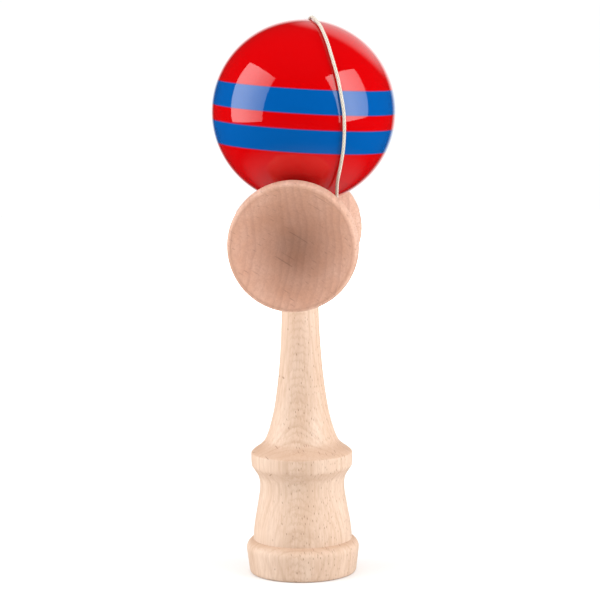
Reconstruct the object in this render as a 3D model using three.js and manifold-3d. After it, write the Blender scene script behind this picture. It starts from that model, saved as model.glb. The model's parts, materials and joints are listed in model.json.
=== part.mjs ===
// A kendama standing on its base cup: a turned wooden handle with a spike, a cross-piece with
// two cups, and a bored ball that is tied on with a string and rests leaning on the cross-piece.
// Millimetres, +Z up. The origin is the middle of the outline, on the surface it stands on.
import * as THREE from "three";
import { mergeVertices } from "three/addons/utils/BufferGeometryUtils.js";
import Module from "manifold-3d";

const wasm = await Module();
wasm.setup();

// Driving dimensions
const gap = 0.3; // clearance between pieces that touch
const ballRadius = 30;
const ballLean = THREE.MathUtils.degToRad(3.95); // the ball leans towards +X on its rest
const boreRadius = 11;
const mouthRadius = 11.8; // outer edge of the bevel round the bore's mouth
const crossHeight = 111.9; // centre line of the cross-piece above the ground
const crossHalfLength = 35;
const waistRadius = 12.5;
const seatRadius = 12.88; // cross-piece radius where the ball's mouth rests on it
const frontCupDepth = 14;
const rearCupDepth = 13;
const baseCupDepth = 9;
const neckRadius = 6.15; // stem just under the cross-piece
const spikeTip = 161;
const stringRadius = 0.55;
const stringHoleRadius = 1.2; // through the cross-piece and the handle
const poleHoleRadius = 1.3; // through the top of the ball
const poleFlare = 1; // rounding of that hole's mouth
const beadLength = 7;
const knotRadius = 2;
const windingRows = 6.8; // turns of string under the cross-piece, one above the other

// Places that follow from them
const mouthDepth = Math.sqrt(ballRadius ** 2 - mouthRadius ** 2);
const mouthHeight = crossHeight + seatRadius + gap;
const ballHeight = mouthHeight + mouthDepth * Math.cos(ballLean);
const handleX = -mouthDepth * Math.sin(ballLean); // the leaning ball's centre stays over the origin
const windingTop = crossHeight - waistRadius - 0.5;
const windingHeight = windingRows * 2 * stringRadius;
const poleHoleTop = 23.5; // inside the ball, up its own axis from its centre
const pocketFloor = 15;
const beadCentre = poleHoleTop - gap - beadLength / 2;
const beadKnotCentre = beadCentre - beadLength / 2 - gap - knotRadius;
const handleKnotX = -3.6; // from the handle's axis, in the recess behind the cross-piece
const recessRadius = knotRadius + 0.6;
const recessEnd = handleKnotX + knotRadius + 0.2;
const drillReach = 9; // past the handle's surface on both sides
const crossBoreLength = 30;

// Fineness of the turned shapes
const handleSides = 40;
const crossSides = 44;
const ballSides = 44;
const boreSides = 40;
const drillSides = 20;
const beadSides = 24;
const windingSides = 32;
const stringSides = 8;
const knotSides = 16;
const knotRings = 10;

const beech = new THREE.MeshStandardMaterial({ color: "#f2dcc4", roughness: 0.6 });
const rosyBeech = new THREE.MeshStandardMaterial({ color: "#d9b09a", roughness: 0.65 });
const redLacquer = new THREE.MeshStandardMaterial({ color: "#d4000f", roughness: 0.15 });
const beadPlastic = new THREE.MeshStandardMaterial({ color: "#f4efe6", roughness: 0.4 });
const braid = new THREE.MeshStandardMaterial({ color: "#f3efe6", roughness: 0.85 });

// Helpers

function revolve(outline, sides) {
  return new THREE.LatheGeometry(outline.getPoints(1), sides);
}

function upright(geometry) {
  return geometry.rotateX(Math.PI / 2);
}

function toSolid(geometry) {
  const bare = geometry.clone();
  bare.deleteAttribute("normal");
  bare.deleteAttribute("uv");
  const merged = mergeVertices(bare, 1e-4);
  return new wasm.Manifold(
    new wasm.Mesh({
      numProp: 3,
      vertProperties: merged.attributes.position.array,
      triVerts: new Uint32Array(merged.index.array),
    }),
  );
}

function toGeometry(solid) {
  const mesh = solid.getMesh();
  const geometry = new THREE.BufferGeometry();
  geometry.setAttribute("position", new THREE.BufferAttribute(mesh.vertProperties, 3));
  geometry.setIndex(new THREE.BufferAttribute(mesh.triVerts, 1));
  geometry.computeVertexNormals();
  return geometry;
}

function cut(geometry, tools) {
  let solid = toSolid(geometry);
  for (const tool of tools) solid = solid.subtract(toSolid(tool));
  return toGeometry(solid);
}

function drillAlongX(radius, fromX, toX, z) {
  const drill = new THREE.CylinderGeometry(radius, radius, toX - fromX, drillSides);
  return drill.rotateZ(Math.PI / 2).translate((fromX + toX) / 2, 0, z);
}

function stringTube(points, steps) {
  const section = new THREE.Shape();
  const corners = [];
  for (let i = 0; i < stringSides; i++) {
    const angle = (i * 2 * Math.PI) / stringSides;
    corners.push(
      new THREE.Vector2(Math.cos(angle) * stringRadius, Math.sin(angle) * stringRadius),
    );
  }
  section.setFromPoints(corners);
  const route = new THREE.CatmullRomCurve3(
    points.map((p) => new THREE.Vector3(...p)),
    false, // not a loop
    "centripetal",
  );
  return new THREE.ExtrudeGeometry(section, { steps, extrudePath: route });
}

function addPart(group, name, geometry, material) {
  const mesh = new THREE.Mesh(geometry, material);
  mesh.name = name;
  group.add(mesh);
  return mesh;
}

function smoothRun(path, points) {
  path.splineThru(points.map(([r, z]) => new THREE.Vector2(r, z)));
}

// Handle: base cup, waisted body, collar, flared stem, seat for the cross-piece and spike,
// all turned from one piece of wood. Outline points are [radius, height].
function makeHandle() {
  const outline = new THREE.Path();
  outline.moveTo(0, baseCupDepth);
  smoothRun(outline, [[5.5, 8.4], [11, 5.6], [15.9, 0]]);
  outline.lineTo(16.9, 0);
  outline.quadraticCurveTo(17.6, 0, 17.72, 0.9);
  outline.lineTo(18.55, 7.3);
  smoothRun(outline, [[18.63, 8.3], [18.4, 9.4], [17.7, 10.6], [16.75, 11.15]]);
  outline.lineTo(16.3, 11.2);
  outline.lineTo(16.3, 11.8);
  outline.lineTo(14.55, 24.3);
  smoothRun(outline, [[14.1, 27], [13.95, 29.6], [14.25, 31.8], [15.3, 33.95]]);
  outline.lineTo(16.62, 35.95);
  outline.lineTo(16.75, 40.2);
  smoothRun(outline, [[15.8, 41.15], [14.8, 41.85], [13.6, 42.75], [12.3, 44.1]]);
  smoothRun(outline, [[11.3, 46.2], [10.1, 50], [9.0, 54.6], [8.0, 61], [7.15, 68.5], [6.55, 77]]);
  smoothRun(outline, [[6.2, 85], [neckRadius, 92], [neckRadius, crossHeight - waistRadius]]);
  outline.lineTo(5.65, mouthHeight);
  outline.lineTo(4.3, 150);
  smoothRun(outline, [[3.8, 155], [2.4, 158.8], [1.1, spikeTip - 0.5], [0, spikeTip]]);
  const turned = upright(revolve(outline, handleSides));
  const knotRecess = drillAlongX(recessRadius, -drillReach, recessEnd, crossHeight);
  const stringHole = drillAlongX(stringHoleRadius, -drillReach, drillReach, crossHeight);
  return cut(turned, [knotRecess, stringHole]);
}

// Cross-piece: turned about the Y axis, the bigger cup facing -Y. Outline points are [radius, y].
function makeCrossPiece() {
  const outline = new THREE.Path();
  outline.moveTo(0, -crossHalfLength + frontCupDepth);
  smoothRun(outline, [[3.2, -21.6], [9, -25.6], [14.6, -30.4], [19, -crossHalfLength]]);
  outline.lineTo(19.35, -crossHalfLength);
  smoothRun(outline, [[19.8, -34.6], [20.6, -31.6], [20.85, -27.4], [19.9, -23.8], [17.3, -20.2]]);
  smoothRun(outline, [[14.5, -16], [seatRadius, -mouthRadius], [waistRadius, -6], [waistRadius, 6]]);
  smoothRun(outline, [[seatRadius, mouthRadius], [14.2, 16], [16.3, 20.6], [18.4, 24.4], [19.2, 28]]);
  smoothRun(outline, [[18.9, 31.8], [18.1, 34.6], [17.6, crossHalfLength]]);
  outline.lineTo(17.1, crossHalfLength);
  smoothRun(outline, [[13.2, 30.8], [8.2, 26.4], [3, 22.6], [0, crossHalfLength - rearCupDepth]]);
  const turned = revolve(outline, crossSides);
  const boreTop = 5.7 + gap; // the bore tapers with the stem
  const boreFoot = neckRadius + gap;
  const bore = upright(new THREE.CylinderGeometry(boreTop, boreFoot, crossBoreLength, boreSides));
  const stringHole = drillAlongX(stringHoleRadius, 0, crossBoreLength / 2, 0);
  return cut(turned, [bore, stringHole]);
}

// Ball: a bored sphere. A wide bore takes the spike, a narrow pocket above it takes the tip and
// the bead, and a small hole with a rounded mouth lets the string out at the pole.
function makeBall() {
  const flareReach = poleHoleRadius + poleFlare;
  const flareHeight = Math.sqrt((ballRadius - poleFlare) ** 2 - flareReach ** 2);
  const poleAngle = Math.atan2(flareHeight, flareReach); // where the rounding meets the sphere
  const mouthAngle = -Math.atan2(mouthDepth, mouthRadius);
  const outline = new THREE.Path();
  outline.moveTo(boreRadius, -mouthDepth + 1.4);
  outline.lineTo(mouthRadius, -mouthDepth);
  const arcSteps = 30;
  for (let i = 1; i <= arcSteps; i++) {
    const angle = mouthAngle + ((poleAngle - mouthAngle) * i) / arcSteps;
    outline.lineTo(ballRadius * Math.cos(angle), ballRadius * Math.sin(angle));
  }
  const flareSteps = 3;
  for (let i = 1; i <= flareSteps; i++) {
    const angle = poleAngle + ((Math.PI - poleAngle) * i) / flareSteps;
    const r = flareReach + poleFlare * Math.cos(angle);
    outline.lineTo(r, flareHeight + poleFlare * Math.sin(angle));
  }
  outline.lineTo(poleHoleRadius, poleHoleTop);
  outline.lineTo(4.6, poleHoleTop - 0.4);
  outline.lineTo(5, pocketFloor);
  outline.lineTo(6.3, pocketFloor - 1);
  outline.lineTo(6.3, 3);
  smoothRun(outline, [[8.6, 1.6], [10.4, -0.6], [boreRadius, -3.4]]);
  outline.lineTo(boreRadius, -mouthDepth + 1.4);
  return upright(revolve(outline, ballSides));
}

function makeBead() {
  const half = beadLength / 2;
  const outline = new THREE.Path();
  outline.moveTo(1.1, -half);
  outline.lineTo(3, -half);
  smoothRun(outline, [[4, -2], [4.3, 0], [4, 2], [3, half]]);
  outline.lineTo(1.1, half);
  outline.lineTo(1.1, -half);
  return upright(revolve(outline, beadSides)).translate(0, 0, beadCentre);
}

function makeWinding() {
  const inner = neckRadius + gap;
  const outer = inner + 2 * stringRadius;
  const outline = new THREE.Path();
  outline.moveTo(inner, 0);
  outline.lineTo(outer, 0);
  outline.lineTo(outer, windingHeight);
  outline.lineTo(inner, windingHeight);
  outline.lineTo(inner, 0);
  return upright(revolve(outline, windingSides)).translate(0, 0, windingTop - windingHeight);
}

function makeKnot() {
  return new THREE.SphereGeometry(knotRadius, knotSides, knotRings);
}

// Free string from the winding to the pole of the ball: up beside the waist, clear across to
// the ball, over its side, and down into the hole at the pole.
const strandRoute = [
  [7.0, -0.4, 100.2],
  [8.5, -1.8, 102.3],
  [9.9, -3.4, 104.9],
  [11.2, -5.0, 108.2],
  [11.8, -7.2, 112.2],
  [11.7, -10.5, 117.4],
  [11.4, -15.0, 124.4],
  [11.9, -20.0, 131.4],
  [13.2, -23.3, 137.2],
  [14.2, -25.7, 142.8],
  [14.6, -27.0, 148.8],
  [14.5, -27.3, 153.8],
  [13.8, -27.0, 158.6],
  [12.9, -26.0, 163.3],
  [11.7, -24.3, 167.8],
  [10.4, -21.9, 171.8],
  [9.0, -18.5, 175.7],
  [7.4, -14.4, 179.0],
  [6.0, -10.4, 181.1],
  [4.6, -6.8, 182.4],
  [3.6, -4.0, 183.1],
  [3.0, -2.2, 183.2],
  [2.5, -1.0, 182.8],
  [2.1, -0.3, 181.9],
  [1.9, 0.0, 180.7],
];

// End of the string: off the lowest turn, up over the waist, into the hole in its side and
// through the handle to the knot.
const tailRoute = [
  [7.0, -0.1, 92.3],
  [8.3, 1.3, 93.7],
  [9.4, 2.6, 96.4],
  [10.2, 3.3, 99.8],
  [11.2, 3.6, 103.2],
  [12.4, 3.2, 106.6],
  [13.3, 2.2, 109.3],
  [13.3, 1.0, 111.1],
  [12.2, 0.2, 111.9],
  [10.6, 0.0, crossHeight],
  [6.0, 0.0, crossHeight],
  [1.0, 0.0, crossHeight],
  [handleX + handleKnotX + knotRadius + gap, 0.0, crossHeight],
];

const kendama = new THREE.Group();

const stand = new THREE.Group();
stand.position.x = handleX;
kendama.add(stand);
addPart(stand, "handle", makeHandle(), beech);
const crossPiece = addPart(stand, "cross_piece", makeCrossPiece(), rosyBeech);
crossPiece.position.z = crossHeight;
const handleKnot = addPart(stand, "handle_knot", makeKnot(), braid);
handleKnot.position.set(handleKnotX, 0, crossHeight);
addPart(stand, "string_winding", makeWinding(), braid);
addPart(kendama, "string_tail", stringTube(tailRoute, 24), braid);
addPart(kendama, "string_strand", stringTube(strandRoute, 38), braid);

const leaning = new THREE.Group();
leaning.position.z = ballHeight;
leaning.rotation.y = ballLean;
kendama.add(leaning);
addPart(leaning, "ball", makeBall(), redLacquer);
addPart(leaning, "bead", makeBead(), beadPlastic);
const beadKnot = addPart(leaning, "bead_knot", makeKnot(), braid);
beadKnot.position.z = beadKnotCentre;
const innerRoute = [
  [0, 0, beadKnotCentre + knotRadius + gap],
  [0, 0, 27.6],
];
addPart(leaning, "string_in_ball", stringTube(innerRoute, 4), braid);

export default kendama;
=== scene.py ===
import json
import math

import bmesh
import bpy
from mathutils import Matrix, Vector


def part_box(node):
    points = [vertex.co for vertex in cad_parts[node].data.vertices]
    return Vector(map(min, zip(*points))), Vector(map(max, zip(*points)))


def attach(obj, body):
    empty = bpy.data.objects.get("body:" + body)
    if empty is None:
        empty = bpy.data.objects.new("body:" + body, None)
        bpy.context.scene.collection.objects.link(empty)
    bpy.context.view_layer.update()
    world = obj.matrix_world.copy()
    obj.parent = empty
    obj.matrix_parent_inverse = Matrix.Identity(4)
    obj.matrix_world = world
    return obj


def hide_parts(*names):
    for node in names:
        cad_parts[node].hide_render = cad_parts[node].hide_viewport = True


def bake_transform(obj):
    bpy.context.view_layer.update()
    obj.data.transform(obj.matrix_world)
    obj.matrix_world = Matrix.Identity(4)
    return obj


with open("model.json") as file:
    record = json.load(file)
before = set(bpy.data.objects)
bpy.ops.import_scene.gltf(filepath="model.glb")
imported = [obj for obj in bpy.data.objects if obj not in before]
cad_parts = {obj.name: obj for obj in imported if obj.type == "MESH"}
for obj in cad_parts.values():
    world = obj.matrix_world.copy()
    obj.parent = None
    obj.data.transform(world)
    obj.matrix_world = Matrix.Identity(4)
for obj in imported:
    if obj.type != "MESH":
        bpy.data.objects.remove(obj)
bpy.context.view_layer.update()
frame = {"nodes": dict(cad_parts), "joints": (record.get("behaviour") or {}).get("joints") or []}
print("frame loaded:", ", ".join(sorted(frame["nodes"])))

mm = 0.001

# Places taken from the frame. The handle stands upright, and the ball leans on the cross-piece.
handleLow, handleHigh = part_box("handle")
crossLow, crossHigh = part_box("cross_piece")
ballJoint = next(j for j in frame["joints"] if j["name"] == "ball_spin")
handleX = (handleLow.x + handleHigh.x) / 2
crossHeight = (crossLow.z + crossHigh.z) / 2
ballCentre = Vector(ballJoint["pos_m"])
ballAxis = Vector(ballJoint["axis"]).normalized()
ballLean = math.atan2(ballAxis.x, ballAxis.z)
handlePlace = Matrix.Translation((handleX, 0, 0))
crossPlace = Matrix.Translation((handleX, 0, crossHeight)) @ Matrix.Rotation(math.radians(-90), 4, "X")
ballPlace = Matrix.Translation(ballCentre) @ Matrix.Rotation(ballLean, 4, "Y")


# Camera: a long lens at the height of the ball, a little to the right of the cross-piece's end.
cameraSetup = {
    "distance": 800 * mm,  # from the handle's axis, over the ground
    "height": 200 * mm,
    "azimuth": 4.05,
    "pitch": 7.77,
    "roll": -0.67,
    "lens": 147.54,
    "sensor": 36,
}


def makeCamera(setup):
    azimuth = math.radians(setup["azimuth"])
    data = bpy.data.cameras.new("camera")
    data.lens = setup["lens"]
    data.sensor_width = setup["sensor"]
    data.clip_start = 0.05
    data.clip_end = 50
    camera = bpy.data.objects.new("camera", data)
    side = setup["distance"] * math.sin(azimuth)
    back = setup["distance"] * math.cos(azimuth)
    turn = Matrix.Rotation(azimuth, 4, "Z")
    tip = Matrix.Rotation(math.radians(90 - setup["pitch"]), 4, "X")
    roll = Matrix.Rotation(math.radians(setup["roll"]), 4, "Z")
    place = Matrix.Translation((handleX + side, -back, setup["height"]))
    camera.matrix_world = place @ turn @ tip @ roll
    bpy.context.scene.collection.objects.link(camera)
    bpy.context.scene.camera = camera


makeCamera(cameraSetup)
print("camera made")


# Shared helpers

def linear(hexColour):
    channels = []
    for i in (0, 2, 4):
        value = int(hexColour[i:i + 2], 16) / 255
        channels.append(value / 12.92 if value <= 0.04045 else ((value + 0.055) / 1.055) ** 2.4)
    return (*channels, 1)


def addNode(tree, kind, settings, inputs):
    node = tree.nodes.new(kind)
    for key, value in settings.items():
        setattr(node, key, value)
    for key, value in inputs.items():
        if isinstance(value, bpy.types.NodeSocket):
            tree.links.new(value, node.inputs[key])
        else:
            node.inputs[key].default_value = value
    return node


def newMaterial(name):
    material = bpy.data.materials.new(name)
    material.use_nodes = True
    material.node_tree.nodes.clear()
    return material, material.node_tree


def finishMaterial(tree, shader):
    addNode(tree, "ShaderNodeOutputMaterial", {}, {"Surface": shader.outputs["BSDF"]})


def smoothRun(points, step):
    # a smooth curve through the points, with each slope taken from its neighbours
    slopes = []
    spans = [max((b - a).length, 1e-9) for a, b in zip(points, points[1:])]
    for i, point in enumerate(points):
        if i == 0:
            slope = (points[1] - point) / spans[0]
        elif i == len(points) - 1:
            slope = (point - points[i - 1]) / spans[-1]
        else:
            before = (point - points[i - 1]) / spans[i - 1]
            after = (points[i + 1] - point) / spans[i]
            slope = (before * spans[i] + after * spans[i - 1]) / (spans[i - 1] + spans[i])
        slopes.append(slope)
    made = [points[0]]
    for i, span in enumerate(spans):
        steps = max(1, round(span / step))
        for k in range(1, steps + 1):
            t = k / steps
            made.append(
                points[i] * (2 * t ** 3 - 3 * t ** 2 + 1)
                + slopes[i] * span * (t ** 3 - 2 * t ** 2 + t)
                + points[i + 1] * (3 * t ** 2 - 2 * t ** 3)
                + slopes[i + 1] * span * (t ** 3 - t ** 2)
            )
    return made


def outlineOf(runs, step=0.7):
    # each run goes smoothly through its points, from where the last one ended; a pair is straight
    line = [Vector(runs[0][0])]
    for run in runs:
        line += smoothRun([Vector(p) for p in run], step)[1:]
    return line


def makeObject(name, bm, place, material):
    bmesh.ops.transform(bm, matrix=place, verts=bm.verts)
    mesh = bpy.data.meshes.new(name)
    bm.to_mesh(mesh)
    bm.free()
    mesh.shade_smooth()
    mesh.materials.append(material)
    made = bpy.data.objects.new(name, mesh)
    bpy.context.scene.collection.objects.link(made)
    return made


sharpAngle = math.radians(32)  # corners of an outline steeper than this are eased


def turn(line, segments, edge=0):
    # turned on the lathe: the outline spun once round Z, and its sharp edges eased
    bm = bmesh.new()
    verts = [bm.verts.new((r * mm, 0, z * mm)) for r, z in line]
    edges = []
    for first, second in zip(verts, verts[1:]):
        if (first.co - second.co).length > 1e-7:
            edges.append(bm.edges.new((first, second)))
    bmesh.ops.spin(
        bm, geom=verts + edges, cent=(0, 0, 0), axis=(0, 0, 1), angle=2 * math.pi,
        steps=segments, use_merge=True,
    )
    bmesh.ops.remove_doubles(bm, verts=bm.verts, dist=2e-6)
    bmesh.ops.recalc_face_normals(bm, faces=bm.faces)
    if edge:
        sharp = [e for e in bm.edges if e.is_manifold and e.calc_face_angle() > sharpAngle]
        bmesh.ops.bevel(
            bm, geom=sharp, offset=edge * mm, offset_type="OFFSET", segments=3, profile=0.5,
            affect="EDGES", clamp_overlap=True, material=-1,
        )
    return bm


def cutAway(piece, cutters):
    for cutter in cutters:
        modifier = piece.modifiers.new("cut", "BOOLEAN")
        modifier.operation = "DIFFERENCE"
        modifier.solver = "EXACT"
        modifier.object = cutter
    graph = bpy.context.evaluated_depsgraph_get()
    mesh = bpy.data.meshes.new_from_object(piece.evaluated_get(graph))
    piece.modifiers.clear()
    piece.data = mesh
    for cutter in cutters:
        bpy.data.objects.remove(cutter)


def creaseAt(piece, degrees):
    piece.data.shade_smooth()
    piece.data.set_sharp_from_angle(angle=math.radians(degrees))


# String. One braided cord, 1.1 mm across: from its knot in the handle, out of the hole in the
# waist, down to the winding under the cross-piece, then over the ball to the bead inside it.
stringSetup = {
    "diameter": 1.1,
    "carriers": 4,  # yarns running each way round
    "yarnPitch": 4.6,  # mm along the string for one turn of a yarn
    "relief": 0.2,  # depth of the hollows between yarns, as a share of the radius
    "sides": 20,
    "ringStep": 0.21,
    "windingRadius": 7.0,
    "windingLow": 91.97,
    "windingHigh": 98.35,
    "windingFrom": -40,  # degrees round the handle where the tail leaves the winding
    "windingTo": 34,  # where the strand leaves it
    "windingTurns": 6,
    "turnPoints": 16,
}
tailRoute = [
    (7.0, -0.1, 92.3),
    (8.3, 1.3, 93.7),
    (9.4, 2.6, 96.4),
    (10.2, 3.3, 99.8),
    (11.2, 3.6, 103.2),
    (12.4, 3.2, 106.6),
    (13.3, 2.2, 109.3),
    (13.3, 1.0, 111.1),
    (12.2, 0.2, 111.9),
    (10.6, 0.0, 111.9),
    (6.0, 0.0, 111.9),
    (1.0, 0.0, 111.9),
    (-3.0, 0.0, 111.9),
]
strandRoute = [
    (7.0, -0.4, 100.2),
    (8.5, -1.8, 102.3),
    (9.9, -3.4, 104.9),
    (11.2, -5.0, 108.2),
    (11.8, -7.2, 112.2),
    (11.7, -10.5, 117.4),
    (11.4, -15.0, 124.4),
    (11.9, -20.0, 131.4),
    (13.2, -23.3, 137.2),
    (14.2, -25.7, 142.8),
    (14.6, -27.0, 148.8),
    (14.5, -27.3, 153.8),
    (13.8, -27.0, 158.6),
    (12.9, -26.0, 163.3),
    (11.7, -24.3, 167.8),
    (10.4, -21.9, 171.8),
    (9.0, -18.5, 175.7),
    (7.4, -14.4, 179.0),
    (6.0, -10.4, 181.1),
    (4.6, -6.8, 182.4),
    (3.6, -4.0, 183.1),
    (3.0, -2.2, 183.2),
    (2.5, -1.0, 182.8),
    (2.1, -0.3, 181.9),
    (1.9, 0.0, 180.7),
]
beadHeight = 19.7  # middle of the bead, up the ball's axis from its centre
beadKnotHeight = 13.9
insideBall = [26, 23.5, 20, beadKnotHeight + 1.6]  # heights the string passes down that axis
handleKnotX = -3.6  # from the handle's axis, in the recess behind the cross-piece


def onBallAxis(height):
    return ballCentre / mm + ballAxis * height


def windingRoute(setup):
    # anticlockwise seen from above as it comes down, so it climbs clockwise here
    travel = 360 * setup["windingTurns"] + setup["windingFrom"] - setup["windingTo"]
    count = round(travel / 360 * setup["turnPoints"])
    points = []
    for i in range(count + 1):
        share = i / count
        angle = math.radians(setup["windingFrom"] - travel * share)
        x = handleX / mm + setup["windingRadius"] * math.cos(angle)
        y = setup["windingRadius"] * math.sin(angle)
        height = setup["windingLow"] + (setup["windingHigh"] - setup["windingLow"]) * share
        points.append(Vector((x, y, height)))
    return points


def evenly(points, step):
    # the smooth curve through the points, with its own points an even step apart
    fine = smoothRun(points, step / 3)
    travelled = [0]
    for a, b in zip(fine, fine[1:]):
        travelled.append(travelled[-1] + (b - a).length)
    count = round(travelled[-1] / step)
    made, at = [], 0
    for i in range(count + 1):
        want = travelled[-1] * i / count
        while at < len(fine) - 2 and travelled[at + 1] < want:
            at += 1
        share = (want - travelled[at]) / (travelled[at + 1] - travelled[at])
        made.append(fine[at].lerp(fine[at + 1], share))
    return made


def yarnHeight(around, along, setup):
    # 1 on the crown of a yarn and 0 in the hollow between crossings of the braid
    travel = along / setup["yarnPitch"]
    first = around * setup["carriers"] + travel * setup["carriers"]
    second = around * setup["carriers"] - travel * setup["carriers"]
    over = (round(first) + round(second)) % 2 == 0
    across = first - round(first) if over else second - round(second)
    lengthwise = second - round(second) if over else first - round(first)
    return math.cos(math.pi * across) ** 0.8 * (0.35 + 0.65 * math.cos(math.pi * lengthwise))


def braidedTube(name, line, setup, material):
    radius = setup["diameter"] / 2
    sides = setup["sides"]
    bm = bmesh.new()
    uvLayer = bm.loops.layers.uv.new("alongString")
    crownLayer = bm.verts.layers.float.new("yarnCrown")
    tangents = []
    for i in range(len(line)):
        before = line[max(i - 1, 0)]
        after = line[min(i + 1, len(line) - 1)]
        tangents.append((after - before).normalized())
    normal = tangents[0].orthogonal().normalized()
    rings = []
    along = 0
    for i, (centre, tangent) in enumerate(zip(line, tangents)):
        if i:
            along += (centre - line[i - 1]).length
            normal = tangents[i - 1].rotation_difference(tangent) @ normal
        normal = (normal - tangent * normal.dot(tangent)).normalized()
        side = tangent.cross(normal)
        ring = []
        for k in range(sides):
            angle = 2 * math.pi * k / sides
            crown = yarnHeight(k / sides, along, setup)
            reach = radius * (1 - setup["relief"] * (1 - crown))
            spot = centre + (normal * math.cos(angle) + side * math.sin(angle)) * reach
            vert = bm.verts.new(spot * mm)
            vert[crownLayer] = crown
            ring.append(vert)
        rings.append((ring, along))
    for (low, start), (high, end) in zip(rings, rings[1:]):
        for k in range(sides):
            after = (k + 1) % sides
            face = bm.faces.new((low[k], low[after], high[after], high[k]))
            around = [k / sides, (k + 1) / sides, (k + 1) / sides, k / sides]
            for loop, u, v in zip(face.loops, around, (start, start, end, end)):
                loop[uvLayer].uv = (u, v)
    for ring, _ in (rings[0], rings[-1]):
        bm.faces.new(ring)
    bmesh.ops.recalc_face_normals(bm, faces=bm.faces)
    return makeObject(name, bm, Matrix.Identity(4), material), along


def braidMaterial(finish):
    # Braided polyester, spun and undyed: dull and faintly furry. It is darker between the yarns, and that
    # darkening is painted shade.
    material, tree = newMaterial("braidedPolyester")
    crown = addNode(tree, "ShaderNodeAttribute", {"attribute_name": "yarnCrown"}, {})
    uv = addNode(tree, "ShaderNodeUVMap", {"uv_map": "alongString"}, {})
    # filaments are about 0.05 mm wide; drawn three times as wide so that they show
    stretch = addNode(
        tree, "ShaderNodeMapping", {},
        {"Vector": uv.outputs["UV"], "Scale": (26, 1.1, 1)},
    )
    fibre = addNode(
        tree, "ShaderNodeTexNoise", {},
        {"Vector": stretch.outputs["Vector"], "Scale": 1, "Detail": 3},
    )
    # painted shade: the hollows between the yarns are coloured darker, fading out towards each yarn's
    # crown
    yarn = addNode(
        tree, "ShaderNodeMapRange", {},
        {"Value": crown.outputs["Fac"], "From Max": finish["open"]},
    )
    shadedYarnColours = addNode(
        tree, "ShaderNodeMix", {"data_type": "RGBA"},
        {0: yarn.outputs["Result"], 6: linear(finish["hollowShade"]), 7: linear(finish["crown"])},
    )
    strands = addNode(
        tree, "ShaderNodeMapRange", {},
        {"Value": fibre.outputs["Fac"], "From Min": 0.35, "From Max": 0.65, "To Min": 0.86},
    )
    shaded = addNode(
        tree, "ShaderNodeMix", {"data_type": "RGBA", "blend_type": "MULTIPLY"},
        {0: 1.0, 6: shadedYarnColours.outputs[2], 7: strands.outputs["Result"]},
    )
    bump = addNode(
        tree, "ShaderNodeBump", {},
        {"Height": fibre.outputs["Fac"], "Distance": 0.05 * mm, "Strength": 0.5},
    )
    shader = addNode(
        tree, "ShaderNodeBsdfPrincipled", {},
        {
            "Base Color": shaded.outputs[2], "Roughness": 0.85, "Normal": bump.outputs["Normal"],
            "Sheen Weight": 0.25, "Sheen Roughness": 0.4,
        },
    )
    finishMaterial(tree, shader)
    return material


# "open" is the share of the way up a yarn above which the painted shade of the hollows is gone and the
# yarn shows its full colour
braidFinish = {"hollowShade": "968770", "crown": "E6DFD2", "open": 0.85}
braid = braidMaterial(braidFinish)

stringPoints = [Vector(p) for p in reversed(tailRoute)]
stringPoints += windingRoute(stringSetup)
stringPoints += [Vector(p) for p in strandRoute]
stringPoints += [onBallAxis(height) for height in insideBall]
stringLine = evenly(stringPoints, stringSetup["ringStep"])
string, stringLength = braidedTube("string", stringLine, stringSetup, braid)
print("string made, %.1f mm long" % stringLength)


# Knots. The stopper knots at the string's two ends, each an overhand knot pulled tight.
knotSetup = {
    "spread": 0.42,  # mm, a third of how far its loops reach
    "depth": 0.46,
    "points": 60,
    "start": 0.04,  # share of the loop left open at each end
}


def knotRoute(setup, centre, into):
    # an overhand knot round a line along "into", which is the way the string arrives
    side = into.orthogonal().normalized()
    other = into.cross(side)
    route = []
    for i in range(setup["points"] + 1):
        share = setup["start"] + (1 - 2 * setup["start"]) * i / setup["points"]
        angle = 2 * math.pi * share
        across = math.sin(angle) + 2 * math.sin(2 * angle)
        along = math.cos(angle) - 2 * math.cos(2 * angle)
        lift = -math.sin(3 * angle)
        route.append(
            centre + into * along * setup["spread"]
            + side * across * setup["spread"] + other * lift * setup["depth"]
        )
    return route


def tieKnot(name, centre, into, node):
    line = evenly(knotRoute(knotSetup, centre, into), stringSetup["ringStep"])
    knot, _ = braidedTube(name, line, stringSetup, braid)
    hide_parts(node)
    return knot


handleKnotCentre = Vector((handleX / mm + handleKnotX, 0, crossHeight / mm))
handleKnot = tieKnot("knotInHandle", handleKnotCentre, Vector((-1, 0, 0)), "handle_knot")
beadKnot = tieKnot("knotUnderBead", onBallAxis(beadKnotHeight), -ballAxis, "bead_knot")
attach(handleKnot, "handle")
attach(beadKnot, "string_end")
print("knots tied")

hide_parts("string_tail", "string_winding", "string_strand", "string_in_ball")
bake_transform(string)


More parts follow.
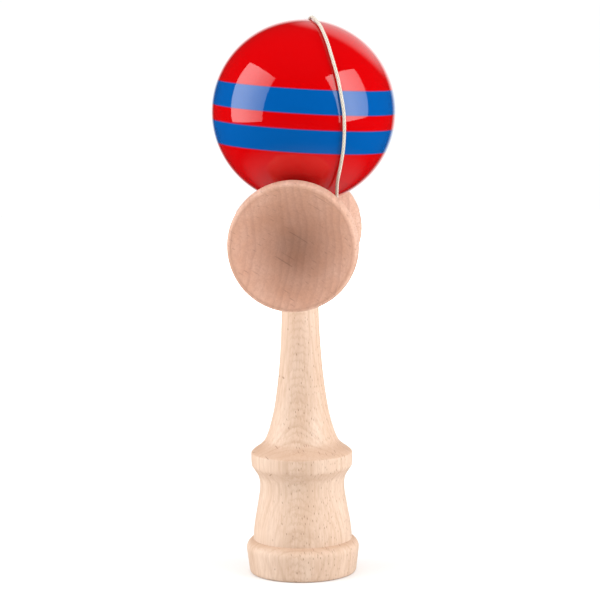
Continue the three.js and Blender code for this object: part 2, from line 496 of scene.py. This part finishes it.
# Wood. Both wooden pieces are turned from steamed beech, sanded and left unvarnished: pale and
# rosy, with thin darker year rings and short brown ray flecks that lie along the grain.
def beechMaterial(name, wood):
    material, tree = newMaterial(name)
    coords = addNode(tree, "ShaderNodeTexCoord", {}, {})
    # in the log: x round the tree, y out from the heart, z up the trunk, in millimetres
    log = addNode(
        tree, "ShaderNodeMapping", {"vector_type": "TEXTURE"},
        {
            "Vector": coords.outputs["Object"], "Location": wood["heart"],
            "Rotation": [math.radians(a) for a in wood["turned"]], "Scale": (mm, mm, mm),
        },
    )
    slow = addNode(
        tree, "ShaderNodeMapping", {}, {"Vector": log.outputs["Vector"], "Scale": (1, 1, 0.28)},
    )
    sway = addNode(
        tree, "ShaderNodeTexNoise", {},
        {"Vector": slow.outputs["Vector"], "Scale": 1 / wood["swayLength"], "Detail": 2},
    )
    swayed = addNode(
        tree, "ShaderNodeVectorMath", {"operation": "MULTIPLY_ADD"},
        {0: sway.outputs["Color"], 1: (wood["sway"], wood["sway"], 0), 2: log.outputs["Vector"]},
    )
    flat = addNode(
        tree, "ShaderNodeVectorMath", {"operation": "MULTIPLY"},
        {0: swayed.outputs["Vector"], 1: (1, 1, 0)},
    )
    radius = addNode(
        tree, "ShaderNodeVectorMath", {"operation": "LENGTH"}, {0: flat.outputs["Vector"]},
    )
    years = addNode(
        tree, "ShaderNodeMath", {"operation": "DIVIDE"},
        {0: radius.outputs["Value"], 1: wood["ringWidth"]},
    )
    year = addNode(tree, "ShaderNodeMath", {"operation": "FLOOR"}, {0: years.outputs["Value"]})
    season = addNode(tree, "ShaderNodeMath", {"operation": "FRACT"}, {0: years.outputs["Value"]})
    vigour = addNode(
        tree, "ShaderNodeTexWhiteNoise", {"noise_dimensions": "1D"}, {"W": year.outputs["Value"]},
    )
    late = addNode(
        tree, "ShaderNodeMapRange", {"interpolation_type": "SMOOTHSTEP"},
        {"Value": season.outputs["Value"], "From Min": wood["lateFrom"], "From Max": 0.96},
    )
    early = addNode(
        tree, "ShaderNodeMapRange", {"interpolation_type": "SMOOTHSTEP"},
        {"Value": season.outputs["Value"], "From Min": 0, "From Max": 0.1, "To Min": 1, "To Max": 0},
    )
    ring = addNode(
        tree, "ShaderNodeMath", {"operation": "MAXIMUM"},
        {0: late.outputs["Result"], 1: early.outputs["Result"]},
    )
    strength = addNode(
        tree, "ShaderNodeMapRange", {},
        {"Value": vigour.outputs["Value"], "To Min": wood["ringFaint"], "To Max": wood["ringBold"]},
    )
    ringDark = addNode(
        tree, "ShaderNodeMath", {"operation": "MULTIPLY"},
        {0: ring.outputs["Value"], 1: strength.outputs["Result"]},
    )
    parts = addNode(tree, "ShaderNodeSeparateXYZ", {}, {"Vector": log.outputs["Vector"]})
    # pores are finer than can be seen, so the streaks they make are drawn 0.5 mm wide
    streakCoords = addNode(
        tree, "ShaderNodeMapping", {},
        {"Vector": swayed.outputs["Vector"], "Scale": (1.6, 1.6, 0.04)},
    )
    streak = addNode(
        tree, "ShaderNodeTexNoise", {},
        {"Vector": streakCoords.outputs["Vector"], "Scale": 1, "Detail": 4, "Roughness": 0.6},
    )
    mottleCoords = addNode(
        tree, "ShaderNodeMapping", {}, {"Vector": log.outputs["Vector"], "Scale": (1.3, 1.3, 0.25)},
    )
    mottle = addNode(
        tree, "ShaderNodeTexNoise", {},
        {"Vector": mottleCoords.outputs["Vector"], "Scale": 1, "Detail": 4, "Roughness": 0.75},
    )
    patchCoords = addNode(
        tree, "ShaderNodeMapping", {},
        {"Vector": log.outputs["Vector"], "Scale": (0.16, 0.16, 0.035)},
    )
    patch = addNode(
        tree, "ShaderNodeTexNoise", {},
        {"Vector": patchCoords.outputs["Vector"], "Scale": 1, "Detail": 2},
    )
    # where the rings lie flat to the face there is a darker strip, crossed by small bowed ripples
    offStrip = addNode(tree, "ShaderNodeMath", {"operation": "ABSOLUTE"}, {0: parts.outputs["X"]})
    strip = addNode(
        tree, "ShaderNodeMapRange", {"interpolation_type": "SMOOTHSTEP"},
        {
            "Value": offStrip.outputs["Value"], "From Min": wood["stripHalf"] - wood["stripSoft"],
            "From Max": wood["stripHalf"] + wood["stripSoft"], "To Min": 1, "To Max": 0,
        },
    )
    bow = addNode(
        tree, "ShaderNodeMath", {"operation": "POWER"}, {0: offStrip.outputs["Value"], 1: 2.0},
    )
    bowed = addNode(
        tree, "ShaderNodeMath", {"operation": "MULTIPLY_ADD"},
        {0: bow.outputs["Value"], 1: wood["rippleBow"], 2: parts.outputs["Z"]},
    )
    wander = addNode(
        tree, "ShaderNodeMath", {"operation": "MULTIPLY_ADD"},
        {0: mottle.outputs["Fac"], 1: wood["rippleWander"], 2: bowed.outputs["Value"]},
    )
    turns = addNode(
        tree, "ShaderNodeMath", {"operation": "MULTIPLY"},
        {0: wander.outputs["Value"], 1: 2 * math.pi / wood["rippleStep"]},
    )
    wave = addNode(tree, "ShaderNodeMath", {"operation": "SINE"}, {0: turns.outputs["Value"]})
    crest = addNode(
        tree, "ShaderNodeMapRange", {"interpolation_type": "SMOOTHSTEP"},
        {"Value": wave.outputs["Value"], "From Min": 0.2, "From Max": 1, "To Max": wood["rippleDark"]},
    )
    narrow = addNode(
        tree, "ShaderNodeMapRange", {"interpolation_type": "SMOOTHSTEP"},
        {
            "Value": offStrip.outputs["Value"], "From Min": wood["stripHalf"] * 0.3,
            "From Max": wood["stripHalf"] * 0.9, "To Min": 1, "To Max": 0,
        },
    )
    ripple = addNode(
        tree, "ShaderNodeMath", {"operation": "MULTIPLY"},
        {0: crest.outputs["Result"], 1: narrow.outputs["Result"]},
    )
    # rays show as dark flecks 0.3 mm wide and 1 to 2 mm long, lying along the grain
    aside = addNode(
        tree, "ShaderNodeMath", {"operation": "MULTIPLY_ADD"},
        {0: parts.outputs["Y"], 1: wood["raySlant"], 2: parts.outputs["X"]},
    )
    raySpot = addNode(
        tree, "ShaderNodeCombineXYZ", {}, {"X": aside.outputs["Value"], "Y": parts.outputs["Z"]},
    )
    raySpacing = (1 / wood["rayAcross"], 1 / wood["rayAlong"], 1)
    rayCoords = addNode(
        tree, "ShaderNodeMapping", {}, {"Vector": raySpot.outputs["Vector"], "Scale": raySpacing},
    )
    ray = addNode(
        tree, "ShaderNodeTexVoronoi", {"feature": "F1", "voronoi_dimensions": "2D"},
        {"Vector": rayCoords.outputs["Vector"], "Scale": 1, "Randomness": 1},
    )
    rayShape = addNode(
        tree, "ShaderNodeMapRange", {"interpolation_type": "SMOOTHSTEP"},
        {"Value": ray.outputs["Distance"], "From Min": 0.06, "From Max": 0.2, "To Min": 1, "To Max": 0},
    )
    rayPick = addNode(tree, "ShaderNodeSeparateColor", {}, {"Color": ray.outputs["Color"]})
    rayFew = addNode(
        tree, "ShaderNodeMapRange", {},
        {
            "Value": parts.outputs["X"], "From Min": wood["raysFewAt"], "From Max": wood["raysManyAt"],
            "To Min": wood["rayFewest"], "To Max": wood["rayFew"],
        },
    )
    rayShown = addNode(
        tree, "ShaderNodeMapRange", {},
        {
            "Value": rayPick.outputs["Red"], "From Min": rayFew.outputs["Result"], "From Max": 1,
            "To Min": 0, "To Max": wood["rayDark"],
        },
    )
    fleck = addNode(
        tree, "ShaderNodeMath", {"operation": "MULTIPLY"},
        {0: rayShape.outputs["Result"], 1: rayShown.outputs["Result"]},
    )
    # end grain drinks in more light and looks browner
    facing = addNode(
        tree, "ShaderNodeVectorMath", {"operation": "DOT_PRODUCT"},
        {0: coords.outputs["Normal"], 1: wood["grainAxis"]},
    )
    ends = addNode(tree, "ShaderNodeMath", {"operation": "ABSOLUTE"}, {0: facing.outputs["Value"]})
    endGrain = addNode(
        tree, "ShaderNodeMapRange", {"interpolation_type": "SMOOTHSTEP"},
        {"Value": ends.outputs["Value"], "From Min": 0.3, "From Max": 0.85, "To Max": wood["endDark"]},
    )
    stripTone = addNode(
        tree, "ShaderNodeMath", {"operation": "MULTIPLY"},
        {0: strip.outputs["Result"], 1: wood["stripDark"]},
    )
    mottleTone = addNode(
        tree, "ShaderNodeMapRange", {},
        {
            "Value": mottle.outputs["Fac"], "From Min": 0.45, "From Max": 0.75,
            "To Max": wood["mottleDark"],
        },
    )
    tone = addNode(
        tree, "ShaderNodeMapRange", {},
        {"Value": patch.outputs["Fac"], "From Min": 0.3, "From Max": 0.7},
    )
    colour = addNode(
        tree, "ShaderNodeMix", {"data_type": "RGBA"},
        {0: tone.outputs["Result"], 6: linear(wood["pale"]), 7: linear(wood["warm"])},
    )
    streakTone = addNode(
        tree, "ShaderNodeMapRange", {},
        {
            "Value": streak.outputs["Fac"], "From Min": 0.42, "From Max": 0.7,
            "To Max": wood["streakDark"],
        },
    )
    for amount, shade in (
        (endGrain.outputs["Result"], "endGrain"),
        (stripTone.outputs["Value"], "strip"),
        (streakTone.outputs["Result"], "streak"),
        (mottleTone.outputs["Result"], "streak"),
        (ringDark.outputs["Value"], "ring"),
        (ripple.outputs["Value"], "ring"),
        (fleck.outputs["Value"], "ray"),
    ):
        colour = addNode(
            tree, "ShaderNodeMix", {"data_type": "RGBA"},
            {0: amount, 6: colour.outputs[2], 7: linear(wood[shade])},
        )
    rough = addNode(
        tree, "ShaderNodeMapRange", {}, {"Value": streak.outputs["Fac"], "To Min": 0.5, "To Max": 0.68},
    )
    bump = addNode(
        tree, "ShaderNodeBump", {},
        {"Height": streak.outputs["Fac"], "Distance": 0.03 * mm, "Strength": 0.6},
    )
    shader = addNode(
        tree, "ShaderNodeBsdfPrincipled", {},
        {
            "Base Color": colour.outputs[2], "Roughness": rough.outputs["Result"],
            "Normal": bump.outputs["Normal"], "IOR": 1.5, "Specular IOR Level": 0.35,
        },
    )
    finishMaterial(tree, shader)
    return material


# Handle: base cup, waisted body, collar, flared stem and spike, turned from one piece. Points
# are [radius, height] in mm; each run follows on from the last.
handleRuns = [
    [(0, 9), (5.5, 8.4), (11, 5.6), (15.9, 0)],
    [(15.9, 0), (16.9, 0)],
    [(16.9, 0), (17.45, 0.2), (17.72, 0.9)],
    [(17.72, 0.9), (18.55, 7.3)],
    [(18.55, 7.3), (18.63, 8.3), (18.4, 9.4), (17.95, 10.2), (17.3, 10.85), (16.75, 11.15)],
    [(16.75, 11.15), (16.3, 11.2)],
    [(16.3, 11.2), (16.3, 11.8), (14.55, 24.3)],
    [(14.55, 24.3), (14.1, 27), (13.95, 29.6), (14.25, 31.8), (14.8, 33.2), (15.3, 33.95)],
    [(15.3, 33.95), (16.62, 35.95)],
    [(16.62, 35.95), (16.75, 38), (16.75, 40.2)],
    [
        (16.75, 40.2), (15.8, 41.15), (14.8, 41.85), (13.6, 42.75), (12.3, 44.1), (11.3, 46.2),
        (10.1, 50), (9.0, 54.6), (8.0, 61), (7.15, 68.5), (6.55, 77), (6.2, 85), (6.15, 92), (6.15, 99.4),
    ],
    [(6.15, 99.4), (5.65, 125.08), (4.3, 150)],
    [(4.3, 150), (3.8, 155), (2.4, 158.8), (1.1, 160.5), (0, 161)],
]
handleWood = {
    "heart": (handleX - 0.9 * mm, 84 * mm, 0),  # a point on the tree's own axis
    "turned": (1.2, 0.5, 0),  # degrees the log leans from upright
    "grainAxis": (0, 0, 1),
    "ringWidth": 1.7,  # mm grown in a year
    "lateFrom": 0.6,  # share of the year after which the wood darkens
    "ringFaint": 0.03,
    "ringBold": 0.24,
    "sway": 1.8,  # mm the rings wander, over a length in mm
    "swayLength": 12,
    "stripHalf": 4.8,  # mm, half the width of the strip down the face
    "stripSoft": 0.3,
    "stripDark": 0.13,
    "rippleStep": 2.6,
    "rippleBow": 0.13,
    "rippleWander": 5.0,
    "rippleDark": 0.2,
    "rayAcross": 0.9,  # mm between flecks, across the grain and along it
    "rayAlong": 2.8,
    "raySlant": 0.62,
    "rayFewest": 0.9,  # share of the flecks left out on the bare side, and on the other
    "rayFew": 0.25,
    "raysFewAt": -6,  # mm to each side of the strip's middle
    "raysManyAt": 5,
    "rayDark": 0.75,
    "streakDark": 0.5,
    "mottleDark": 0.3,
    "endDark": 0.5,
    "pale": "DCC3AF",
    "warm": "D2B59E",
    "strip": "BFA48C",
    "endGrain": "B28C70",
    "streak": "BD9A80",
    "ring": "A47C5E",
    "ray": "80573F",
}


stringHoleRadius = 1.2
knotRecess = {"radius": 2.6, "end": -1.4}
drillReach = 9  # past the handle's surface on both sides


def drill(name, radius, start, end, sink=0):
    # a cutter along X at the height of the cross-piece, from the handle's axis; sink opens its end
    wide, last = radius + 2 * sink, end + sink
    runs = [
        [(0, start), (radius, start)],
        [(radius, start), (radius, end - sink)],
        [(radius, end - sink), (wide, last)],
        [(wide, last), (0, last)],
    ]
    along = Matrix.Rotation(math.radians(90), 4, "Y")
    place = Matrix.Translation((handleX, 0, crossHeight)) @ along
    return makeObject(name, turn(outlineOf(runs, 9), 48), place, None)


def makeHandle():
    handle = makeObject(
        "turnedHandle", turn(outlineOf(handleRuns), 128, edge=0.22), handlePlace,
        beechMaterial("steamedBeechHandle", handleWood),
    )
    stringHoleDrill = drill("stringHoleDrill", stringHoleRadius, -drillReach, drillReach)
    knotRecessDrill = drill("knotRecessDrill", knotRecess["radius"], -drillReach, knotRecess["end"])
    cutAway(handle, [stringHoleDrill, knotRecessDrill])
    creaseAt(handle, 30)
    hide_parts("handle")
    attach(handle, "handle")


makeHandle()
print("handle turned")


# Cross-piece: turned about its own length, the bigger cup at the front. Points are
# [radius, distance along it], with the front at minus.
crossRuns = [
    [(0, -21), (3.2, -21.6), (9, -25.6), (14.6, -30.4), (19.0, -35)],
    [(19.0, -35), (19.35, -35)],
    [
        (19.35, -35), (19.8, -34.6), (20.6, -31.6), (20.85, -27.4), (19.9, -23.8), (17.3, -20.2),
        (14.5, -16), (12.88, -11.8), (12.5, -6), (12.5, 6), (12.88, 11.8), (14.2, 16), (16.3, 20.6),
        (18.4, 24.4), (19.2, 28), (18.9, 31.8), (18.1, 34.6), (17.6, 35),
    ],
    [(17.6, 35), (17.1, 35)],
    [(17.1, 35), (13.2, 30.8), (8.2, 26.4), (3, 22.6), (0, 22)],
]
crossBore = {"low": 6.26, "high": 5.75, "length": 30}  # radii of the hole, tight on the stem
tailHole = {"end": 12.4, "sink": 0.3}  # the string hole in the waist, its mouth slightly sunk
crossWood = {
    "heart": (handleX - 70 * mm, 0, crossHeight + 6 * mm),
    "turned": (-90, -90, 0),
    "grainAxis": (0, 1, 0),
    "ringWidth": 2.3,
    "lateFrom": 0.35,
    "ringFaint": 0.02,
    "ringBold": 0.32,
    "sway": 3.2,
    "swayLength": 9,
    "stripHalf": 0.1,  # no strip and no ripples show on this piece
    "stripSoft": 0.3,
    "stripDark": 0,
    "rippleStep": 2.6,
    "rippleBow": 0.13,
    "rippleWander": 5.0,
    "rippleDark": 0,
    "rayAcross": 1.3,
    "rayAlong": 3.6,
    "raySlant": 0.62,
    "rayFewest": 0.5,
    "rayFew": 0.4,
    "raysFewAt": -6,
    "raysManyAt": 5,
    "rayDark": 0.5,
    "streakDark": 0.3,
    "mottleDark": 0.55,
    "endDark": 0.52,
    "pale": "D8B29E",
    "warm": "CEA28A",
    "strip": "B08875",
    "endGrain": "A06D52",
    "streak": "A57C68",
    "ring": "93695A",
    "ray": "7C5648",
}


def makeCrossPiece():
    crossPiece = makeObject(
        "turnedCrossPiece", turn(outlineOf(crossRuns), 144, edge=0.18), crossPlace,
        beechMaterial("steamedBeechCrossPiece", crossWood),
    )
    low, high, half = crossBore["low"], crossBore["high"], crossBore["length"] / 2
    bore = [[(0, -half), (low, -half)], [(low, -half), (high, half)], [(high, half), (0, half)]]
    borePlace = Matrix.Translation((handleX, 0, crossHeight))
    boreDrill = makeObject("boreDrill", turn(outlineOf(bore, 9), 128), borePlace, None)
    tailHoleDrill = drill("tailHoleDrill", stringHoleRadius, 0, tailHole["end"], tailHole["sink"])
    cutAway(crossPiece, [boreDrill, tailHoleDrill])
    creaseAt(crossPiece, 30)
    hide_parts("cross_piece")
    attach(crossPiece, "handle")


makeCrossPiece()
print("cross-piece turned")


# Ball: turned, bored from below and lacquered. Points are [radius, height up its own axis].
ballSetup = {
    "radius": 30,
    "bore": 11,
    "mouth": 11.8,
    "holeRadius": 1.3,
    "flare": 1.0,  # rounding of the string hole's mouth
    "segments": 160,
}
# edges of the painted bands up the ball's axis, from below
ballBands = [(-11.2, -3.75), (1.2, 8.8)]


def ballRuns(setup):
    radius, mouth, flare = setup["radius"], setup["mouth"], setup["flare"]
    mouthDepth = math.sqrt(radius ** 2 - mouth ** 2)
    flareReach = setup["holeRadius"] + flare
    # the rounding meets the sphere smoothly
    flareHeight = math.sqrt((radius - flare) ** 2 - flareReach ** 2)
    low = -math.atan2(mouthDepth, mouth)
    high = math.atan2(flareHeight, flareReach)
    sphere = []
    arcSteps = 90
    for i in range(arcSteps + 1):
        angle = low + (high - low) * i / arcSteps
        sphere.append((radius * math.cos(angle), radius * math.sin(angle)))
    lip = []
    lipSteps = 8
    for i in range(1, lipSteps + 1):
        angle = high + (math.pi - high) * i / lipSteps
        lip.append((flareReach + flare * math.cos(angle), flareHeight + flare * math.sin(angle)))
    bore = setup["bore"]
    hole = setup["holeRadius"]
    return [
        [(bore, -mouthDepth + 1.4), (mouth, -mouthDepth)],
        sphere,
        [sphere[-1], *lip],
        [lip[-1], (hole, 23.5)],
        [(hole, 23.5), (4.6, 23.1)],
        [(4.6, 23.1), (5, 15)],
        [(5, 15), (6.3, 14)],
        [(6.3, 14), (6.3, 3)],
        [(6.3, 3), (8.6, 1.6), (10.4, -0.6), (bore, -3.4)],
        [(bore, -3.4), (bore, -mouthDepth + 1.4)],
    ]


def lacquerMaterial(finish):
    # Sprayed polyurethane lacquer on a turned ball: a deep even colour under a mirror-smooth
    # face, with two painted bands and a fine pale line where each band's edge was masked.
    material, tree = newMaterial("glossLacquer")
    reach = ballSetup["radius"]
    coords = addNode(tree, "ShaderNodeTexCoord", {}, {})
    local = addNode(
        tree, "ShaderNodeMapping", {"vector_type": "TEXTURE"},
        {
            "Vector": coords.outputs["Object"], "Location": ballCentre, "Rotation": (0, ballLean, 0),
            "Scale": (mm, mm, mm),
        },
    )
    parts = addNode(tree, "ShaderNodeSeparateXYZ", {}, {"Vector": local.outputs["Vector"]})
    height = addNode(
        tree, "ShaderNodeMapRange", {},
        {"Value": parts.outputs["Z"], "From Min": -reach, "From Max": reach},
    )
    bands = addNode(tree, "ShaderNodeValToRGB", {}, {"Fac": height.outputs["Result"]})
    stops = [(-reach, finish["red"])]
    line, soft = finish["line"], finish["soft"]
    for low, high in ballBands:
        stops += [
            (low - line, finish["red"]),
            (low - line + soft, finish["edge"]),
            (low, finish["edge"]),
            (low + soft, finish["blue"]),
            (high - soft, finish["blue"]),
            (high, finish["edge"]),
            (high + line - soft, finish["edge"]),
            (high + line, finish["red"]),
        ]
    ramp = bands.color_ramp
    while len(ramp.elements) < len(stops):
        ramp.elements.new(1)
    for element, (place, colour) in zip(ramp.elements, stops):
        element.position = (place + reach) / (2 * reach)
        element.color = linear(colour)
    peel = addNode(
        tree, "ShaderNodeTexNoise", {},
        {"Vector": local.outputs["Vector"], "Scale": 0.35, "Detail": 1},
    )
    bump = addNode(
        tree, "ShaderNodeBump", {},
        {"Height": peel.outputs["Fac"], "Distance": 0.02 * mm, "Strength": 0.5},
    )
    shader = addNode(
        tree, "ShaderNodeBsdfPrincipled", {},
        {
            "Base Color": bands.outputs["Color"], "Roughness": 0.08,
            "IOR": 1.5, "Specular IOR Level": 0.1,
            "Coat Weight": 1.0, "Coat Roughness": 0.02, "Coat IOR": 1.45,
            "Normal": bump.outputs["Normal"], "Coat Normal": bump.outputs["Normal"],
        },
    )
    finishMaterial(tree, shader)
    return material


lacquerFinish = {
    "red": "BC0003",
    "blue": "004F96",
    "edge": "7A2C5C",  # where the paints meet
    "line": 0.25,  # mm wide, with ends that fade over "soft"
    "soft": 0.1,
}


def makeBall():
    turned = turn(outlineOf(ballRuns(ballSetup), 1.2), ballSetup["segments"])
    ball = makeObject("lacqueredBall", turned, ballPlace, lacquerMaterial(lacquerFinish))
    creaseAt(ball, 30)
    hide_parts("ball")
    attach(ball, "ball")


makeBall()
print("ball turned")


# Bead: a small barrel that stops the string from pulling out of the ball.
beadRuns = [
    [(1.1, -3.5), (3, -3.5)],
    [(3, -3.5), (4, -2), (4.3, 0), (4, 2), (3, 3.5)],
    [(3, 3.5), (1.1, 3.5)],
    [(1.1, 3.5), (1.1, -3.5)],
]


def beadMaterial(finish):
    # Moulded polystyrene: cream, satin, a little mottled.
    material, tree = newMaterial("mouldedPolystyrene")
    coords = addNode(tree, "ShaderNodeTexCoord", {}, {})
    mottle = addNode(
        tree, "ShaderNodeTexNoise", {},
        {"Vector": coords.outputs["Object"], "Scale": 400, "Detail": 3},
    )
    colour = addNode(
        tree, "ShaderNodeMix", {"data_type": "RGBA"},
        {0: mottle.outputs["Fac"], 6: linear(finish["pale"]), 7: linear(finish["warm"])},
    )
    shader = addNode(
        tree, "ShaderNodeBsdfPrincipled", {},
        {"Base Color": colour.outputs[2], "Roughness": 0.35, "IOR": 1.55},
    )
    finishMaterial(tree, shader)
    return material


beadFinish = {"pale": "F4EFE6", "warm": "E6DCCB"}


def makeBead():
    place = Matrix.Translation(onBallAxis(beadHeight) * mm) @ Matrix.Rotation(ballLean, 4, "Y")
    turned = turn(outlineOf(beadRuns, 0.5), 48, edge=0.2)
    bead = makeObject("stringBead", turned, place, beadMaterial(beadFinish))
    creaseAt(bead, 40)
    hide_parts("bead")
    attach(bead, "string_end")
    return bead


bead = makeBead()
print("bead made")


# Stage: a white table that glows with painted light as if lit from below, two big soft boxes, one at each
# side, and pale walls.
softBoxes = [
    {
        "name": "Left", "azimuth": -72, "elevation": 18.6, "turned": 0,
        "width": 0.97, "height": 1.03,
        # brightness across the box, from the camera's side to the far side
        "profile": [(0, 0.75), (0.3, 1.15), (0.6, 1.45), (1, 1.1)],
    },
    {
        "name": "Right", "azimuth": 71, "elevation": 18.5, "turned": -18,
        "width": 0.87, "height": 0.98,
        "profile": [(0, 1.1), (0.3, 1.5), (0.6, 1.2), (1, 0.75)],
    },
]
softBoxSetup = {
    "distance": 1.0,
    "power": 6.2,
    "gleam": 2.4,  # extra power seen only in reflections, for crisper highlights
    "gleamCloser": 0.98,  # it hangs just in front of the box, at this share of the distance
}
surround = {
    "seen": 1.02,
    "front": 0.0,  # light from the dark end of the room
    "side": 1.14,  # from the walls at each side
    "sideReach": (0.4, 0.95),
    "top": 2.4,  # and from the ceiling
    "topReach": (0.5, 0.98),
    # what shows in the lacquer: a lit panel up behind, the wall behind and the table below
    "panel": 0.75,
    "panelFrom": (0.28, 0.8, 0.53),
    "panelReach": (0.9, 0.98),
    "behind": 1.2,
    "behindReach": (0.84, 0.98),
    "below": 0.42,
    "belowReach": (-0.5, -0.9),
    "dark": 0.02,  # and the rest of the room
}
table = {
    "colour": "E0E0E0",
    "glow": 0.1,  # under the toy, and further out
    "edgeGlow": 1.05,
    "glowReach": (0.08, 0.7),  # metres from the middle
    "radius": 1.2,
}


def makeSoftBox(box, kind, power, closer=1):
    azimuth, elevation = math.radians(box["azimuth"]), math.radians(box["elevation"])
    flat = math.cos(elevation)
    out = Vector((math.sin(azimuth) * flat, -math.cos(azimuth) * flat, math.sin(elevation)))
    centre = ballCentre + out * softBoxSetup["distance"] * closer
    facing = out.to_track_quat("Z", "Y").to_matrix().to_4x4()
    facing = facing @ Matrix.Rotation(math.radians(box["turned"]), 4, "Y")
    data = bpy.data.lights.new("softBox" + box["name"] + kind, "AREA")
    data.shape = "RECTANGLE"
    data.size = box["width"] * closer
    data.size_y = box["height"] * closer
    # the lamp sits off centre in the box, so the cloth is brighter on one side
    data.use_nodes = True
    tree = data.node_tree
    tree.nodes.clear()
    away = facing.to_3x3().col[0].normalized()
    away = away if away.y > 0 else -away
    spot = addNode(tree, "ShaderNodeNewGeometry", {}, {})
    along = addNode(
        tree, "ShaderNodeVectorMath", {"operation": "DOT_PRODUCT"},
        {0: spot.outputs["Position"], 1: away},
    )
    middle, half = centre.dot(away), data.size / 2
    across = addNode(
        tree, "ShaderNodeMapRange", {},
        {"Value": along.outputs["Value"], "From Min": middle - half, "From Max": middle + half},
    )
    cloth = addNode(tree, "ShaderNodeFloatCurve", {}, {"Value": across.outputs["Result"]})
    curve = cloth.mapping.curves[0]
    profile = box["profile"]
    brightest = max(share for _, share in profile)
    while len(curve.points) < len(profile):
        curve.points.new(0.5, 0.5)
    for point, (place, share) in zip(curve.points, profile):
        point.location = (place, share / brightest)
    cloth.mapping.update()
    glow = addNode(tree, "ShaderNodeEmission", {}, {"Strength": cloth.outputs["Value"]})
    addNode(tree, "ShaderNodeOutputLight", {}, {"Surface": glow.outputs["Emission"]})
    data.energy = power * brightest
    light = bpy.data.objects.new(data.name, data)
    light.matrix_world = Matrix.Translation(centre) @ facing
    light.visible_camera = False
    light.visible_diffuse = kind == "Light"  # a gleam shows in reflections only
    bpy.context.scene.collection.objects.link(light)


def makeSoftBoxes():
    for box in softBoxes:
        makeSoftBox(box, "Light", softBoxSetup["power"])
        makeSoftBox(box, "Gleam", softBoxSetup["gleam"], softBoxSetup["gleamCloser"])


def makeSurround():
    world = bpy.data.worlds.new("studio")
    bpy.context.scene.world = world
    world.use_nodes = True
    tree = world.node_tree
    tree.nodes.clear()
    coords = addNode(tree, "ShaderNodeTexCoord", {}, {})
    parts = addNode(tree, "ShaderNodeSeparateXYZ", {}, {"Vector": coords.outputs["Generated"]})
    across = addNode(tree, "ShaderNodeMath", {"operation": "ABSOLUTE"}, {0: parts.outputs["X"]})
    towards = addNode(
        tree, "ShaderNodeVectorMath", {"operation": "DOT_PRODUCT"},
        {0: coords.outputs["Generated"], 1: surround["panelFrom"]},
    )
    # each light fades in over its reach, which is a share of the way towards it
    shown = {}
    for name, value, least in (
        ("side", across.outputs["Value"], surround["front"]),
        ("top", parts.outputs["Z"], 0),
        ("panel", towards.outputs["Value"], surround["dark"]),
        ("behind", parts.outputs["Y"], 0),
        ("below", parts.outputs["Z"], 0),
    ):
        start, end = surround[name + "Reach"]
        fade = addNode(
            tree, "ShaderNodeMapRange", {"interpolation_type": "SMOOTHSTEP"},
            {
                "Value": value, "From Min": start, "From Max": end,
                "To Min": least, "To Max": surround[name],
            },
        )
        shown[name] = fade.outputs["Result"]

    room = addNode(
        tree, "ShaderNodeMath", {"operation": "MAXIMUM"}, {0: shown["side"], 1: shown["top"]},
    )
    reflected = addNode(
        tree, "ShaderNodeMath", {"operation": "MAXIMUM"}, {0: shown["panel"], 1: shown["below"]},
    )
    reflected = addNode(
        tree, "ShaderNodeMath", {"operation": "MAXIMUM"},
        {0: reflected.outputs["Value"], 1: shown["behind"]},
    )
    path = addNode(tree, "ShaderNodeLightPath", {}, {})
    lit = addNode(
        tree, "ShaderNodeMix", {"data_type": "FLOAT"},
        {0: path.outputs["Is Glossy Ray"], 2: room.outputs["Value"], 3: reflected.outputs["Value"]},
    )
    seen = addNode(
        tree, "ShaderNodeMix", {"data_type": "FLOAT"},
        {0: path.outputs["Is Camera Ray"], 2: lit.outputs[0], 3: surround["seen"]},
    )
    glow = addNode(
        tree, "ShaderNodeBackground", {}, {"Color": (1, 1, 1, 1), "Strength": seen.outputs[0]},
    )
    addNode(tree, "ShaderNodeOutputWorld", {}, {"Surface": glow.outputs["Background"]})


def makeTable():
    # round white acrylic sheet that glows with painted light of its own, standing in for a lamp beneath
    # it, more towards its edge, so that its far side runs into the white surround and the shadows on it
    # stay faint
    material, tree = newMaterial("glowingAcrylicSheet")
    coords = addNode(tree, "ShaderNodeTexCoord", {}, {})
    reach = addNode(
        tree, "ShaderNodeVectorMath", {"operation": "LENGTH"}, {0: coords.outputs["Object"]},
    )
    start, end = table["glowReach"]
    # painted light: the sheet's own emission, faint under the toy and strong towards its edge
    glow = addNode(
        tree, "ShaderNodeMapRange", {"interpolation_type": "SMOOTHSTEP"},
        {
            "Value": reach.outputs["Value"], "From Min": start, "From Max": end,
            "To Min": table["glow"], "To Max": table["edgeGlow"],
        },
    )
    shader = addNode(
        tree, "ShaderNodeBsdfPrincipled", {},
        {
            "Base Color": linear(table["colour"]), "Roughness": 0.6, "Specular IOR Level": 0.1,
            "Emission Color": (1, 1, 1, 1), "Emission Strength": glow.outputs["Result"],
        },
    )
    finishMaterial(tree, shader)
    bm = bmesh.new()
    bmesh.ops.create_circle(bm, cap_ends=True, segments=96, radius=table["radius"])
    floor = makeObject("tableTop", bm, Matrix.Identity(4), material)
    floor.visible_glossy = False


makeSoftBoxes()
makeSurround()
makeTable()
bpy.context.scene.view_settings.view_transform = "Standard"
print("stage lit")
